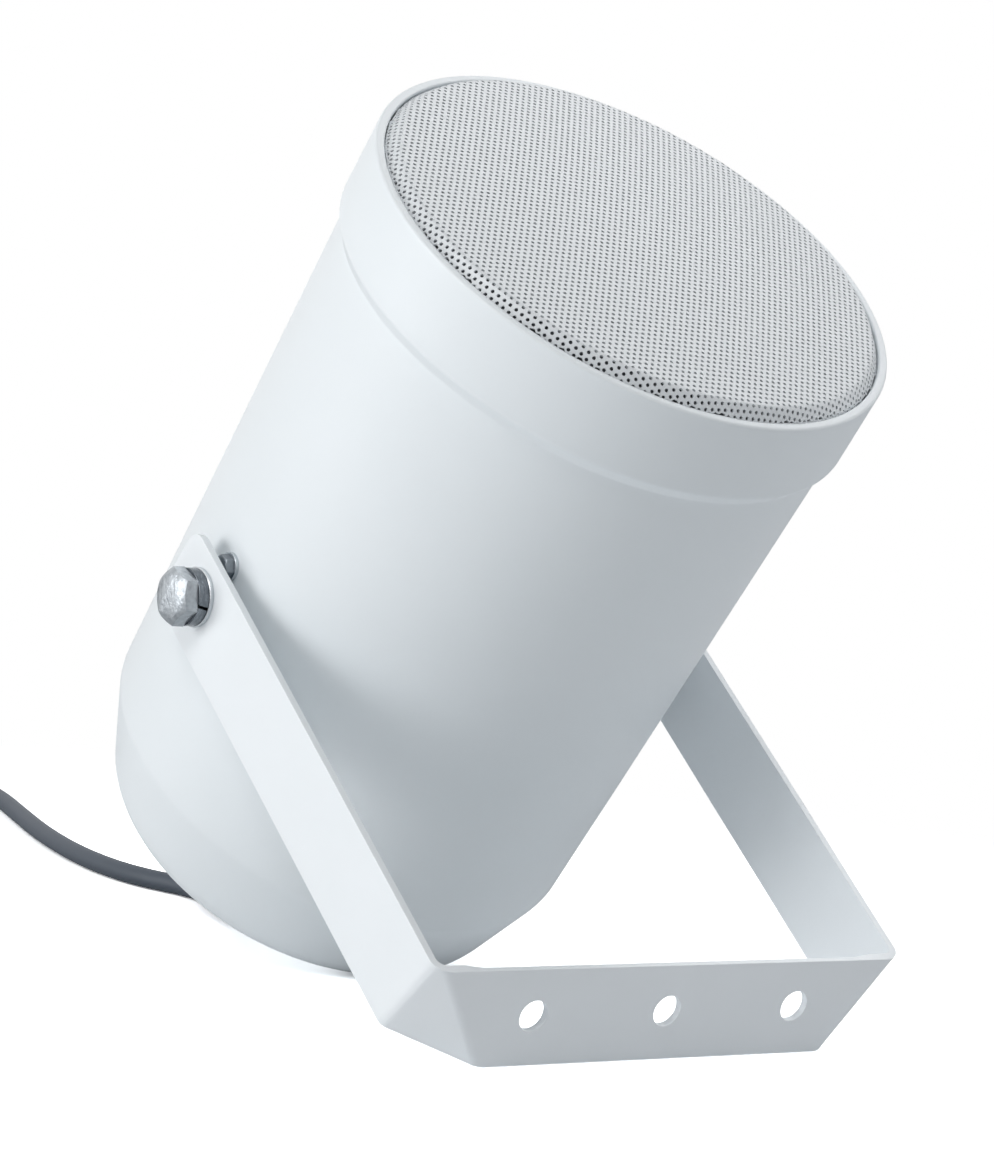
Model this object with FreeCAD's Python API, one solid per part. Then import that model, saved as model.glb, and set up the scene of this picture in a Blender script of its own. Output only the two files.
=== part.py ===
import FreeCAD, Part
import math
import os

# Sound projector loudspeaker: a moulded pot with a domed perforated grille, a chassis driver and a
# line transformer inside, and a folded strip bracket on two side bolts. It stands on the bracket's
# crossbar and on the pot's rear edge. All sizes are in millimetres.
#
# Pot frame: origin on the pivot axis, +Z along the pot towards the grille, +X along the pivot axis.
# The bracket's arms run towards -Y. The finished parts are turned and lifted into the standing pose.

V = FreeCAD.Vector

# Pot
RIM_R = 70.0
RIM_Z = 119.4
RIM_WIDTH = 2.5
LIP_Z = 97.6
LEDGE_Z = 94.4
BODY_R_FRONT = 67.75
BODY_R_BEVEL = 64.95
BEVEL_Z = -54.8
BACK_Z = -85.7
BEVEL_SLOPE = 0.343
BACK_ROUND = 15.0
WALL = 3.0
SHOULDER_Z = 101.4
SHOULDER_R = 57.6
SHOULDER_T = 4.0

# Standoffs on the back wall for the transformer and the terminal block: place and height of their tops
STANDOFFS = [(-30, 20, -75.7), (30, 20, -75.7), (-9, -24, -78.7), (9, -24, -78.7)]

# Grille
GRILLE_T = 0.8
GRILLE_R = 67.1
GRILLE_TOP_Z = 126.0
GRILLE_EDGE_Z = 122.4
GRILLE_ROLL = 5.5
GRILLE_SKIRT_Z = 107.0
HOLE_PITCH = 9.1
HOLE_R = 2.9
HOLE_FIELD_R = 59.0
LATTICE_TURN = -2.3

# Driver
FLANGE_R = 64.6
FLANGE_T = 1.2
GASKET_T = 1.0
SCREW_CIRCLE_R = 61.2
CONE_R = 47.0
COIL_R = 12.7
BASKET_DEPTH = 42.0
MAGNET_R = 40.0
MAGNET_T = 15.0

# Pivot hardware
PIVOT_BOLT_R = 4.0
PIVOT_HOLE_R = 4.08
HEAD_FLATS = 13.0
HEAD_T = 4.3
HEAD_FACE_R = 5.5
HEAD_TURN = 42.0
SPRING_R = 7.3
SPRING_T = 2.9
SPLIT_TURN = -109.0
WASHER_R = 7.6
WASHER_T = 1.2
BUSH_R = 4.9
BORE_R = 4.2
FLAT_X = 65.55
BUSH_FLAT_R = 7.0
SCREW_FLAT_R = 5.0
PAD_X = 62.0
PLATE_T = 3.0
PLATE_SCREWS = [(2.4, 8.4), (-2.4, -8.4)]
PLATE_SCREW_R = 1.5
PLATE_SCREW_FLATS = 5.5
PLATE_HEAD_T = 2.4
PLATE_WASHER_R = 3.7
PLATE_WASHER_T = 1.0

# Bracket, a strip with two oblique folds at each corner; its pivot holes lie nearer to its front edge
STRIP_T = 2.0
STRIP_W = 25.0
STRIP_FRONT_Z = 11.36
ARM_OUT_X = 72.7
ARM_TOP_Y = 13.6
ARM_CORNER_R = 4.5
CORNER_Y = -134.26
CROSSBAR_TILT = 22.55
FOLD_REAR_Y = -128.35
FOLD_INSET = 19.3
FOLD_TOP = 2.44
BEND_OUT_R = 3.6
FIX_HOLE_R = 4.0
FIX_HOLE_STEP = 40.7
FIX_HOLE_DOWN = 12.1
REST_TURN = 2.35
TRIM_X = 58.0
TRIM_RUN = 14.0
TRIM_RISE = 2.0

# Cable and its gland at the middle of the back
CORD_R = 2.85
GLAND_OUT = 16.0
GLAND_FLATS = 15.0
CORD_IN_Z = -66.0

# Points of the cable's route on the floor, in the standing frame but measured from the pivot axis
CORD_FLOOR = [(0.0, 83.5), (6.0, 112.0), (8.5, 146.0), (12.0, 180.0), (24.0, 222.0), (38.0, 260.0),
              (52.0, 297.0), (60.5, 328.0), (61.5, 358.0), (57.0, 386.0)]
TAIL_FLOOR = [(3.0, 386.0), (0.0, 362.0), (-7.0, 340.0)]
COIL_CENTRE = (30.0, 386.0)
COIL_MEAN_R = 27.0


def outline(corners):
    """Closed wire in the XZ plane from (r, z, rounding) corners; rounded corners become arcs."""
    count = len(corners)
    starts = []
    ends = []
    for i in range(count):
        here = V(corners[i][0], 0, corners[i][1])
        before = V(corners[i - 1][0], 0, corners[i - 1][1])
        after = V(corners[(i + 1) % count][0], 0, corners[(i + 1) % count][1])
        radius = corners[i][2] if len(corners[i]) > 2 else 0
        back = (before - here).normalize()
        on = (after - here).normalize()
        half = back.getAngle(on) / 2
        length = radius / math.tan(half) if radius else 0
        starts.append(here + back * length)
        ends.append(here + on * length)
    edges = []
    for i in range(count):
        here = V(corners[i][0], 0, corners[i][1])
        if (starts[i] - ends[i]).Length > 1e-6:
            middle = (starts[i] + ends[i]) * 0.5
            to_centre = (middle - here).normalize()
            chord = (starts[i] - ends[i]).Length / 2
            radius = corners[i][2]
            centre = middle + to_centre * math.sqrt(max(radius * radius - chord * chord, 0))
            top = centre - to_centre * radius
            edges.append(Part.Arc(starts[i], top, ends[i]).toShape())
        following = starts[(i + 1) % count]
        if (following - ends[i]).Length > 1e-6:
            edges.append(Part.makeLine(ends[i], following))
    return Part.Wire(edges)


def turned(corners):
    """Solid of revolution about Z."""
    return Part.Face(outline(corners)).revolve(V(0, 0, 0), V(0, 0, 1), 360)


def rod(radius, start, end):
    start = V(*start)
    end = V(*end)
    return Part.makeCylinder(radius, (end - start).Length, start, end - start)


def ring(outer, inner, start, end):
    return rod(outer, start, end).cut(rod(inner, start, end))


def box(x0, x1, y0, y1, z0, z1):
    return Part.makeBox(x1 - x0, y1 - y0, z1 - z0, V(x0, y0, z0))


def hexagon(flats, start, end, turn=0.0):
    """Hexagonal prism from start to end; turn rotates its corners about its own axis."""
    start = V(*start)
    axis = V(*end) - start
    points = []
    for k in range(7):
        angle = math.radians(60 * k + turn)
        corner = flats / 2 / math.cos(math.radians(30))
        points.append(V(corner * math.cos(angle), corner * math.sin(angle), 0))
    prism = Part.Face(Part.makePolygon(points)).extrude(V(0, 0, axis.Length))
    prism.Placement = FreeCAD.Placement(start, FreeCAD.Rotation(V(0, 0, 1), axis))
    return prism


def mirrored(shape):
    return shape.mirror(V(0, 0, 0), V(1, 0, 0))


def body_r(z):
    """Outer radius of the pot's tapering side."""
    return BODY_R_BEVEL + (BODY_R_FRONT - BODY_R_BEVEL) * (z - BEVEL_Z) / (LEDGE_Z - BEVEL_Z)


# Pot and grille

def housing_shell():
    inner_bevel_r = BODY_R_BEVEL - WALL
    back_in_z = BACK_Z + WALL
    back_r = BODY_R_BEVEL - BEVEL_SLOPE * (BEVEL_Z - BACK_Z)
    back_in_r = inner_bevel_r - BEVEL_SLOPE * (BEVEL_Z - back_in_z)
    under_z = SHOULDER_Z - SHOULDER_T
    pot = turned([
        (0, BACK_Z), (back_r, BACK_Z, BACK_ROUND), (BODY_R_BEVEL, BEVEL_Z, 8.0), (BODY_R_FRONT, LEDGE_Z, 1.5),
        (RIM_R - 0.05, LIP_Z, 2.2), (RIM_R, RIM_Z, 0.8), (RIM_R - RIM_WIDTH, RIM_Z, 0.6),
        (RIM_R - RIM_WIDTH - 0.1, SHOULDER_Z, 0.5), (SHOULDER_R, SHOULDER_Z, 0.4), (SHOULDER_R, under_z),
        (body_r(under_z) - WALL, under_z - 7.0), (inner_bevel_r, BEVEL_Z, 5.0),
        (back_in_r, back_in_z, BACK_ROUND - WALL), (0, back_in_z)])
    # Pads inside, where the pivot plates are screwed on, and flats outside for the bush and washers
    for side in (-1, 1):
        reach = sorted((side * PAD_X, side * (FLAT_X + 0.2)))
        pad = box(reach[0], reach[1], -9, 9, -17, 17).common(rod(body_r(0) - 0.5, (0, 0, -40), (0, 0, 40)))
        pot = pot.fuse(pad)
        reach = sorted((side * FLAT_X, side * (FLAT_X + 4)))
        flat = rod(BUSH_FLAT_R, (reach[0], 0, 0), (reach[1], 0, 0))
        for y, z in PLATE_SCREWS:
            flat = flat.fuse(rod(SCREW_FLAT_R, (reach[0], y, z), (reach[1], y, z)))
            pot = pot.cut(rod(PLATE_SCREW_R + 0.2, (side * 55, y, z), (side * 75, y, z)))
        pot = pot.cut(flat).cut(rod(BORE_R, (side * 55, 0, 0), (side * 75, 0, 0)))
    # Standoffs for the transformer and the terminal block, each with a pilot hole
    for x, y, top in STANDOFFS:
        pot = pot.fuse(rod(3.6, (x, y, back_in_z - 0.5), (x, y, top)))
        pot = pot.cut(rod(1.3, (x, y, back_in_z - 0.5), (x, y, top + 1)))
    # Bosses under the shoulder for the driver's screws, tied into the wall
    for x, y in circle_points(SCREW_CIRCLE_R, 4, 45):
        boss = rod(3.4, (x, y, under_z - 9), (x, y, under_z + 1))
        pot = pot.fuse(boss)
        pot = pot.cut(rod(1.4, (x, y, under_z - 8), (x, y, SHOULDER_Z + 1)))
    return pot.cut(rod(6.1, (0, 0, BACK_Z - 1), (0, 0, back_in_z + 1)))


def circle_points(radius, count, first):
    angles = [math.radians(first + 360 * k / count) for k in range(count)]
    return [(radius * math.cos(a), radius * math.sin(a)) for a in angles]


def grille():
    """Domed sheet with a rolled edge and a skirt, and a hexagonal field of true round holes."""
    top_in = GRILLE_TOP_Z - GRILLE_T
    rise = GRILLE_TOP_Z - GRILLE_EDGE_Z
    cap_r = (GRILLE_R ** 2 + rise ** 2) / (2 * rise)
    centre_z = GRILLE_TOP_Z - cap_r
    start_r = GRILLE_R - GRILLE_ROLL
    roll_centre_z = centre_z + math.sqrt((cap_r - GRILLE_ROLL) ** 2 - start_r ** 2)
    lean = math.atan2(start_r, roll_centre_z - centre_z)

    def shell_edges(offset):
        radius = cap_r - offset
        roll = GRILLE_ROLL - offset
        join = V(start_r + roll * math.sin(lean), 0, roll_centre_z + roll * math.cos(lean))
        middle = V(radius * math.sin(lean / 2), 0, centre_z + radius * math.cos(lean / 2))
        half = (lean + math.pi / 2) / 2
        corner = V(start_r + roll * math.sin(half), 0, roll_centre_z + roll * math.cos(half))
        side = V(start_r + roll, 0, roll_centre_z)
        top = V(0, 0, GRILLE_TOP_Z - offset)
        return top, middle, join, corner, side

    top, middle, join, corner, side = shell_edges(0)
    top_i, middle_i, join_i, corner_i, side_i = shell_edges(GRILLE_T)
    foot = V(side.x, 0, GRILLE_SKIRT_Z)
    foot_i = V(side_i.x, 0, GRILLE_SKIRT_Z)
    wire = Part.Wire([
        Part.Arc(top, middle, join).toShape(), Part.Arc(join, corner, side).toShape(),
        Part.makeLine(side, foot), Part.makeLine(foot, foot_i), Part.makeLine(foot_i, side_i),
        Part.Arc(side_i, corner_i, join_i).toShape(), Part.Arc(join_i, middle_i, top_i).toShape(),
        Part.makeLine(top_i, top)])
    sheet = Part.Face(wire).revolve(V(0, 0, 0), V(0, 0, 1), 360)
    turn = math.radians(LATTICE_TURN)
    drills = []
    reach = int(HOLE_FIELD_R / HOLE_PITCH) + 2
    for row in range(-reach, reach + 1):
        for column in range(-reach, reach + 1):
            x = (column + 0.5 * (row % 2)) * HOLE_PITCH
            y = row * HOLE_PITCH * math.sqrt(3) / 2
            if math.hypot(x, y) > HOLE_FIELD_R:
                continue
            place = (x * math.cos(turn) - y * math.sin(turn), x * math.sin(turn) + y * math.cos(turn))
            drills.append(rod(HOLE_R, (*place, top_in - 8), (*place, GRILLE_TOP_Z + 2)))
    return sheet.cut(Part.makeCompound(drills))


def grille_cloth():
    """Thin acoustic cloth stretched inside the grille, on its own stiff hoop."""
    return turned([(0, 119.0), (62.0, 116.4), (64.9, 113.0), (65.9, 108.5), (65.0, 108.5), (64.1, 112.6),
                   (61.6, 115.8), (0, 118.4)])


# Driver

def driver_levels():
    """Heights of the driver's layers, from its seat on the shoulder down to the back plate."""
    seat = SHOULDER_Z + GASKET_T
    floor = seat - BASKET_DEPTH
    plate = floor - 5.0
    magnet = plate - MAGNET_T
    return seat, floor, plate, magnet, magnet - 5.0


def driver_gasket():
    seat = SHOULDER_Z + GASKET_T
    pad = ring(FLANGE_R - 0.4, SHOULDER_R + 0.2, (0, 0, SHOULDER_Z), (0, 0, seat))
    for x, y in circle_points(SCREW_CIRCLE_R, 4, 45):
        pad = pad.cut(rod(2.0, (x, y, SHOULDER_Z - 1), (x, y, seat + 1)))
    return pad


def driver_basket():
    """Pressed steel basket: a flange, four legs between windows, and a flat bottom on the top plate."""
    seat, floor, _, _, _ = driver_levels()
    sheet = 1.0
    basket = turned([
        (FLANGE_R, seat), (FLANGE_R, seat + FLANGE_T), (51.0, seat + FLANGE_T), (51.0, seat - 3.0, 1.0),
        (32.0, floor + 13.0, 2.0), (32.0, floor + 10.0, 1.5), (26.5, floor + 10.0, 1.5),
        (26.5, floor + sheet), (15.5, floor + sheet), (15.5, floor), (27.5, floor, 1.0),
        (27.5, floor + 9.0), (33.0, floor + 9.0, 1.5), (33.0, floor + 12.5, 2.0),
        (52.5, seat - 4.0, 1.0), (56.8, seat - 4.0, 1.0), (56.8, seat)])
    for k in range(4):
        window = Part.Face(outline([(34.5, floor + 14.0, 2.0), (49.5, seat - 8.0, 2.0), (62.0, seat - 8.0),
                                    (62.0, floor + 14.0)]))
        cut = window.revolve(V(0, 0, 0), V(0, 0, 1), 62)
        cut.rotate(V(0, 0, 0), V(0, 0, 1), 90 * k + 14)
        basket = basket.cut(cut)
    for x, y in circle_points(SCREW_CIRCLE_R, 4, 45):
        basket = basket.cut(rod(2.0, (x, y, seat - 1), (x, y, seat + 3)))
    return basket


def driver_screws():
    seat = driver_levels()[0]
    top = seat + FLANGE_T
    screws = []
    for x, y in circle_points(SCREW_CIRCLE_R, 4, 45):
        head = Part.makeSphere(4.6, V(x, y, top - 2.4)).common(rod(3.4, (x, y, top), (x, y, top + 3)))
        slot = box(x - 0.4, x + 0.4, y - 2, y + 2, top + 1.2, top + 3)
        slot = slot.fuse(box(x - 2, x + 2, y - 0.4, y + 0.4, top + 1.2, top + 3))
        screws.append(head.cut(slot).fuse(rod(1.4, (x, y, top - 11), (x, y, top))))
    return Part.makeCompound(screws)


def top_plate():
    _, floor, plate, _, _ = driver_levels()
    return ring(36.0, COIL_R + 1.0, (0, 0, plate), (0, 0, floor))


def magnet():
    _, _, plate, low, _ = driver_levels()
    return turned([(16.5, low), (MAGNET_R, low, 1.2), (MAGNET_R, plate, 1.2), (16.5, plate)])


def back_plate():
    """Back plate and pole in one turned piece."""
    _, floor, _, low, base = driver_levels()
    return turned([(0, base), (35.0, base, 1.5), (37.0, low), (COIL_R - 1.0, low),
                   (COIL_R - 1.0, floor - 0.3, 0.4), (0, floor - 0.3)])


def voice_coil():
    _, floor, plate, _, _ = driver_levels()
    tube = ring(COIL_R + 0.05, COIL_R - 0.3, (0, 0, plate - 2.0), (0, 0, floor + 19.0))
    return tube.fuse(ring(COIL_R + 0.5, COIL_R, (0, 0, plate - 2.0), (0, 0, floor + 1.5)))


def spider():
    """Corrugated suspension disc between the former and the basket's step."""
    _, floor, _, _, _ = driver_levels()
    z = floor + 10.0
    upper = []
    lower = []
    first = COIL_R + 0.05
    last = 30.5
    waves = 5
    for k in range(2 * waves + 1):
        r = first + (last - first) * k / (2 * waves)
        lift = 1.1 if k % 2 else 0.0
        upper.append((r, z + 0.6 + lift))
        lower.append((r, z + lift))
    return turned(upper + lower[::-1])


def surround():
    """Half-round rubber roll between the cone's edge and the flange."""
    seat = driver_levels()[0]
    z = seat + FLANGE_T
    inner = CONE_R - 1.5
    outer = 56.5
    left = V(CONE_R + 0.8, 0, z)
    right = V(53.6, 0, z)
    middle = (left.x + right.x) / 2
    radius = (right.x - left.x) / 2
    crest = V(middle, 0, z + radius + 0.6)
    outside = Part.Arc(V(left.x - 0.6, 0, z + 0.6), crest, V(right.x + 0.6, 0, z + 0.6))
    inside = Part.Arc(right, V(middle, 0, z + radius), left)
    wire = Part.Wire([
        Part.makeLine(V(inner, 0, z), V(inner, 0, z + 0.6)),
        Part.makeLine(V(inner, 0, z + 0.6), V(left.x - 0.6, 0, z + 0.6)), outside.toShape(),
        Part.makeLine(V(right.x + 0.6, 0, z + 0.6), V(outer, 0, z + 0.6)),
        Part.makeLine(V(outer, 0, z + 0.6), V(outer, 0, z)), Part.makeLine(V(outer, 0, z), right),
        inside.toShape(), Part.makeLine(left, V(inner, 0, z))])
    return Part.Face(wire).revolve(V(0, 0, 0), V(0, 0, 1), 360)


def cone():
    """Paper cone with a slightly flared side."""
    seat, floor, _, _, _ = driver_levels()
    edge_z = seat + FLANGE_T
    neck = COIL_R + 0.05
    neck_z = floor + 15.0
    middle_r = (CONE_R + neck) / 2 - 1.5
    middle_z = (edge_z + neck_z) / 2 + 1.5
    back = Part.Arc(V(neck, 0, neck_z), V(middle_r, 0, middle_z), V(CONE_R, 0, edge_z - 0.7))
    front = Part.Arc(V(CONE_R - 1.2, 0, edge_z), V(middle_r - 0.7, 0, middle_z + 0.5),
                     V(neck, 0, neck_z + 1.1))
    wire = Part.Wire([
        back.toShape(), Part.makeLine(V(CONE_R, 0, edge_z - 0.7), V(CONE_R, 0, edge_z)),
        Part.makeLine(V(CONE_R, 0, edge_z), V(CONE_R - 1.2, 0, edge_z)),
        front.toShape(), Part.makeLine(V(neck, 0, neck_z + 1.1), V(neck, 0, neck_z))])
    return Part.Face(wire).revolve(V(0, 0, 0), V(0, 0, 1), 360)


def dust_cap():
    floor = driver_levels()[1]
    base = floor + 19.0
    outer = Part.makeSphere(17.0, V(0, 0, base - 9.0)).cut(Part.makeSphere(16.4, V(0, 0, base - 9.0)))
    return outer.common(rod(COIL_R + 1.3, (0, 0, base), (0, 0, base + 9)))


# Line transformer and terminals

def transformer_core():
    outer = box(-22, 22, 12, 28, -75.7, -39.7)
    for x in (-13.5, 8.0):
        outer = outer.cut(box(x, x + 5.5, 11, 29, -68.7, -46.7))
    return outer


def transformer_coil():
    """Moulded bobbin with its winding, round the core's middle leg."""
    body = box(-13.3, 13.3, 7, 33, -68.5, -46.9)
    body = body.makeFillet(2.0, [e for e in body.Edges if abs(e.BoundBox.ZLength) > 15])
    return body.cut(box(-8, 8, 12, 28, -70, -45)).cut(box(-22, -13.5, 12, 28, -76, -39)).cut(
        box(13.5, 22, 12, 28, -76, -39))


def transformer_strap():
    """Steel strap over the core with two feet on the standoffs."""
    strap = box(-23, 23, 14, 26, -75.7, -38.7).cut(box(-22, 22, 13, 27, -76, -39.7))
    for side in (-1, 1):
        reach = sorted((side * 22, side * 34))
        foot = box(reach[0], reach[1], 14, 26, -75.7, -74.7)
        strap = strap.fuse(foot).cut(rod(1.7, (side * 30, 20, -77), (side * 30, 20, -73)))
    return strap.removeSplitter()


def pan_screws(places, z):
    screws = []
    for x, y in places:
        head = Part.makeSphere(3.6, V(x, y, z - 1.6)).common(rod(2.9, (x, y, z), (x, y, z + 3)))
        head = head.cut(box(x - 0.35, x + 0.35, y - 4, y + 4, z + 1.2, z + 3))
        screws.append(head.fuse(rod(1.3, (x, y, z - 7), (x, y, z))))
    return Part.makeCompound(screws)


def transformer_screws():
    return pan_screws([(-30, 20), (30, 20)], -74.7)


def terminal_block():
    """Two-way block with wire mouths towards +Y and -Y and clamp screws on top."""
    block = box(-14, 14, -29, -19, -78.7, -69.7)
    block = block.makeChamfer(0.8, [e for e in block.Edges if abs(e.BoundBox.XLength) > 20])
    for x in (-4, 4):
        block = block.cut(rod(1.9, (x, -30, -75.2), (x, -18, -75.2)))
        block = block.cut(rod(2.1, (x, -24, -74.4), (x, -24, -69)))
    for x in (-9, 9):
        block = block.cut(rod(1.6, (x, -24, -80), (x, -24, -69)))
    return block


def terminal_screws():
    clamps = []
    for x in (-4, 4):
        screw = rod(2.0, (x, -24, -73.2), (x, -24, -70.6))
        clamps.append(screw.cut(box(x - 0.3, x + 0.3, -27, -21, -71.4, -70)))
    return Part.makeCompound(clamps + pan_screws([(-9, -24), (9, -24)], -69.7).Solids)


# Wires, cable and gland

def tube_path(points):
    """Straight runs joined by tangent arcs, each as large as its two runs allow."""
    points = [V(*p) for p in points]
    edges = []
    here = points[0]
    used = []
    for i in range(1, len(points) - 1):
        back = points[i - 1] - points[i]
        on = points[i + 1] - points[i]
        turn = math.pi - back.getAngle(on)
        length = 0.45 * min(back.Length, on.Length)
        radius = length / math.tan(turn / 2)
        used.append(radius)
        start = points[i] + back.normalize() * length
        end = points[i] + on.normalize() * length
        chord = (start + end) * 0.5 - points[i]
        middle = points[i] + chord.normalize() * (radius / math.cos(turn / 2) - radius)
        edges.append(Part.LineSegment(here, start).toShape())
        edges.append(Part.Arc(start, middle, end).toShape())
        here = end
    edges.append(Part.LineSegment(here, points[-1]).toShape())
    return Part.Wire(edges), used


def tube(points, radius, label=""):
    path, used = tube_path(points)
    first = path.Edges[0]
    start = first.valueAt(first.FirstParameter)
    circle = Part.Wire(Part.makeCircle(radius, start, first.tangentAt(first.FirstParameter)))
    solid = path.makePipeShell([circle], True, True)
    expected = math.pi * radius ** 2 * path.Length
    if label:
        print(label, "length", round(path.Length, 1), "radii", [round(r, 1) for r in used],
              "volume ratio", round(solid.Volume / expected, 4))
    return solid


def supply_cores():
    """The cable's two conductors, from the end of its jacket to the terminal block."""
    wires = []
    for side in (-1, 1):
        points = [(side * 1.2, 0, CORD_IN_Z), (side * 1.2, 0, CORD_IN_Z + 7), (side * 3, -9, CORD_IN_Z + 5),
                  (side * 4, -16.5, CORD_IN_Z - 3), (side * 4, -18.0, -75.2), (side * 4, -21.5, -75.2)]
        wires.append(tube(points, 0.9))
    return Part.makeCompound(wires)


def speaker_leads():
    """Two leads from the transformer up to the tags on the basket."""
    _, floor, _, low, _ = driver_levels()
    wires = []
    for side in (-1, 1):
        points = [(side * 5, 33, -57), (side * 5, 40, -57), (side * 6, 47, -48), (side * 7, 48, -20),
                  (side * 5, 48, 10), (side * 4, 47, low), (side * 4, 47, floor + 4.3),
                  (side * 4, 36, floor + 4.3)]
        wires.append(tube(points, 0.9))
    return Part.makeCompound(wires)


def driver_tags():
    """Insulated tag strip against the basket's neck, with its two tags."""
    floor = driver_levels()[1]
    strip = box(-7, 7, 27.5, 28.9, floor + 1, floor + 8.5)
    for side in (-1, 1):
        strip = strip.fuse(box(side * 4 - 1.4, side * 4 + 1.4, 28.9, 36.0, floor + 4.0, floor + 4.6))
    return strip


def gland_body():
    """Flanged body: a hexagon outside the wall, a thread through it and a bore for the cable."""
    body = hexagon(GLAND_FLATS, (0, 0, BACK_Z), (0, 0, BACK_Z - 4.5))
    cone_cut = turned([(0, BACK_Z - 5), (8.1, BACK_Z - 5), (9.2, BACK_Z - 3.4), (9.2, BACK_Z), (0, BACK_Z)])
    body = body.common(cone_cut)
    body = body.fuse(rod(6.0, (0, 0, BACK_Z), (0, 0, BACK_Z + 9)))
    body = body.fuse(rod(6.0, (0, 0, BACK_Z - 4.5), (0, 0, BACK_Z - 9.5)))
    body = body.cut(rod(CORD_R + 0.5, (0, 0, BACK_Z - 12), (0, 0, BACK_Z + 10)))
    return body.cut(rod(4.7, (0, 0, BACK_Z - 12), (0, 0, BACK_Z - 6.0)))


def gland_seal():
    """Rubber sleeve squeezed onto the cable by the nut."""
    return turned([(CORD_R, BACK_Z - 6.0), (CORD_R, BACK_Z - 13.6), (5.4, BACK_Z - 13.6), (5.8, BACK_Z - 9.6),
                   (4.7, BACK_Z - 9.6), (4.7, BACK_Z - 6.0)])


def gland_nut():
    """Domed sealing nut with six flats at its foot."""
    low = BACK_Z - 4.6
    end = BACK_Z - GLAND_OUT
    dome = turned([(6.05, low), (8.6, low, 0.5), (8.6, low - 6.0, 1.5), (5.0, end, 2.0),
                   (CORD_R + 0.3, end, 0.3), (CORD_R + 0.3, BACK_Z - 13.6), (6.05, BACK_Z - 13.6)])
    flats = hexagon(GLAND_FLATS, (0, 0, low), (0, 0, low - 6.0))
    return dome.common(flats.fuse(rod(7.45, (0, 0, low - 5.0), (0, 0, end))))


def gland_locknut():
    inner = BACK_Z + WALL
    return hexagon(17.0, (0, 0, inner), (0, 0, inner + 4)).cut(rod(6.0, (0, 0, inner), (0, 0, inner + 4)))


# Pivot hardware, made for the left side (-X) and mirrored

def pivot_bolt():
    """Hexagon bolt: chamfered head outside, shank through the arm, bush, wall and plate."""
    seat = -(ARM_OUT_X + WASHER_T + SPRING_T)
    head = hexagon(HEAD_FLATS, (seat, 0, 0), (seat - HEAD_T, 0, 0), HEAD_TURN)
    corner = HEAD_FLATS / 2 / math.cos(math.radians(30))
    lathe = turned([(0, 0), (corner, 0), (corner, HEAD_T - 1.2), (HEAD_FACE_R, HEAD_T), (0, HEAD_T)])
    lathe.Placement = FreeCAD.Placement(V(seat, 0, 0), FreeCAD.Rotation(V(0, 0, 1), V(-1, 0, 0)))
    return head.common(lathe).fuse(rod(PIVOT_BOLT_R, (seat, 0, 0), (seat + 20, 0, 0)))


def spring_washer():
    """Split ring: a square section with a slanting gap."""
    x = -(ARM_OUT_X + WASHER_T)
    body = ring(SPRING_R, 4.15, (x, 0, 0), (x - SPRING_T, 0, 0))
    gap = box(x - SPRING_T - 1, x + 1, -0.35, 0.35, -9, -3)
    gap.rotate(V(x - SPRING_T / 2, 0, -6), V(0, 0, 1), 14)
    gap.rotate(V(x, 0, 0), V(1, 0, 0), SPLIT_TURN)
    return body.cut(gap)


def flat_washer():
    x = -ARM_OUT_X
    return ring(WASHER_R, BORE_R, (x, 0, 0), (x - WASHER_T, 0, 0))


def pivot_bush():
    return ring(BUSH_R, 4.1, (-(ARM_OUT_X - STRIP_T), 0, 0), (-FLAT_X, 0, 0))


def pivot_plate():
    """Steel plate inside the wall that the bolt and the two small screws thread into."""
    plate = box(-PAD_X, -PAD_X + PLATE_T, -7.5, 7.5, -14.5, 14.5)
    plate = plate.makeFillet(2.0, [e for e in plate.Edges if abs(e.BoundBox.XLength) > 1])
    plate = plate.cut(rod(PIVOT_BOLT_R, (-70, 0, 0), (-50, 0, 0)))
    for y, z in PLATE_SCREWS:
        plate = plate.cut(rod(PLATE_SCREW_R, (-70, y, z), (-50, y, z)))
    return plate


def plate_screws():
    """Two small hexagon screws beside the pivot bolt."""
    seat = -(FLAT_X + PLATE_WASHER_T)
    corner = PLATE_SCREW_FLATS / 2 / math.cos(math.radians(30))
    face_r = PLATE_SCREW_FLATS / 2 - 0.2
    screws = []
    for y, z in PLATE_SCREWS:
        head = hexagon(PLATE_SCREW_FLATS, (seat, y, z), (seat - PLATE_HEAD_T, y, z), HEAD_TURN)
        lathe = turned([(0, 0), (corner, 0), (corner, PLATE_HEAD_T - 0.5), (face_r, PLATE_HEAD_T),
                        (0, PLATE_HEAD_T)])
        lathe.Placement = FreeCAD.Placement(V(seat, y, z), FreeCAD.Rotation(V(0, 0, 1), V(-1, 0, 0)))
        screws.append(head.common(lathe).fuse(rod(PLATE_SCREW_R, (seat, y, z), (seat + 9, y, z))))
    return Part.makeCompound(screws)


def plate_washers():
    outer_x = -(FLAT_X + PLATE_WASHER_T)
    rings = []
    for y, z in PLATE_SCREWS:
        rings.append(ring(PLATE_WASHER_R, PLATE_SCREW_R + 0.1, (-FLAT_X, y, z), (outer_x, y, z)))
    return Part.makeCompound(rings)


# Bracket

def plane(normal, point):
    normal = V(*normal).normalize()
    return normal, normal.dot(point)


def plane_through(a, b, c):
    return plane((b - a).cross(c - a), a)


def moved_in(face, distance):
    """The plane moved towards the pivot by the distance."""
    normal, level = face
    return normal, level - distance * math.copysign(1, level)


def meet(first, second, third):
    """The point that three planes share."""
    (a, p), (b, q), (c, r) = first, second, third
    return (b.cross(c) * p + c.cross(a) * q + a.cross(b) * r) * (1.0 / a.dot(b.cross(c)))


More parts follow.
